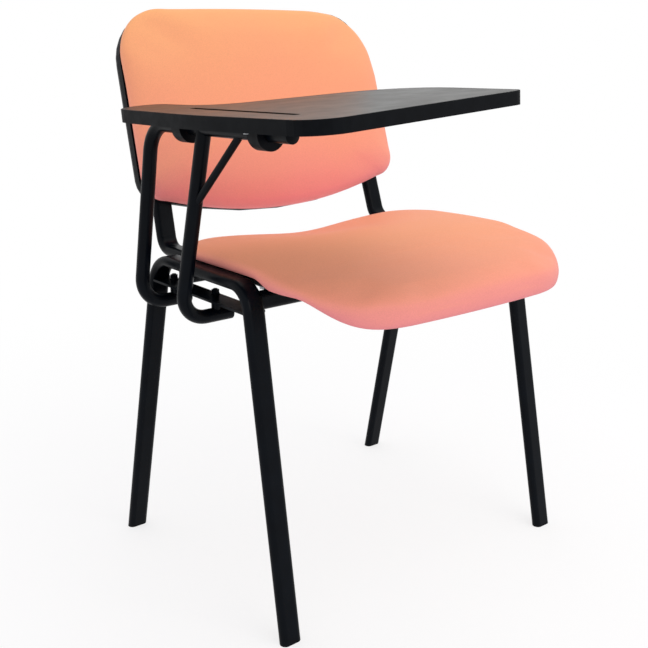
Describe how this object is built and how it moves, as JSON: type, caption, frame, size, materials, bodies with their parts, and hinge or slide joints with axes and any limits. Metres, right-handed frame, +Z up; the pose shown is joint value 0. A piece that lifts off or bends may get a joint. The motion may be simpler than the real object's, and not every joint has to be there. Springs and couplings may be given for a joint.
{
  "type": "tablet arm chair",
  "caption": "Stackable conference chair with tubular steel frame, padded seat and back, and a writing tablet that folds up on its arm tube.",
  "frame": {"origin": "centre of the bounding box, at floor level", "axes": "+Z up; the sitter faces -Y; the sitter's left is +X, so the tablet is at -X"},
  "size_m": [0.5968, 0.5933, 0.7916],
  "materials": {
    "frame_black": "satin black powder coat",
    "plastic_black": "fine-grained black moulding",
    "pad_rubber": "matt black rubber",
    "cover_salmon": "smooth salmon orange upholstery",
    "board_beech": "plain beech plywood",
    "tablet_grey": "dark grey satin laminate on board",
    "zinc": "bright zinc plate"
  },
  "bodies": {
    "chair": {"leg_frame_right": "frame_black", "leg_frame_left": "frame_black", "front_crossbar": "frame_black", "rear_crossbar": "frame_black", "back_upright_right": "frame_black", "back_upright_left": "frame_black", "arm_tube": "frame_black", "arm_front_post": "frame_black", "arm_brace": "frame_black", "mounting_bar": "frame_black", "front_saddle": "frame_black", "rear_saddle": "frame_black", "rest_plate": "frame_black", "arm_studs": "frame_black", "arm_nuts": "frame_black", "arm_washers": "frame_black", "upright_plugs": "plastic_black", "foot_cap_front_right": "plastic_black", "foot_cap_front_left": "plastic_black", "foot_cap_rear_right": "plastic_black", "foot_cap_rear_left": "plastic_black", "back_shell": "plastic_black", "arm_front_plug": "plastic_black", "post_foot_plugs": "plastic_black", "rest_pad": "pad_rubber", "seat_cushion": "cover_salmon", "back_cushion": "cover_salmon", "seat_board": "board_beech", "back_board": "board_beech", "seat_bolts": "zinc", "seat_tee_nuts": "zinc", "back_bolts": "zinc", "back_tee_nuts": "zinc", "shell_screws": "zinc"},
    "tablet": {"tablet_board": "tablet_grey", "tablet_edge_band": "plastic_black", "front_pivot_block": "plastic_black", "rear_pivot_block": "plastic_black", "pivot_screws": "zinc"}
  },
  "joints": [
    {"name": "tablet_flip", "type": "hinge", "parent": "chair", "child": "tablet", "pos_m": [-0.22865, -0.10484, 0.6473], "axis": [0, -0.9997, 0.0262], "range_deg": [0, 80]}
  ]
}
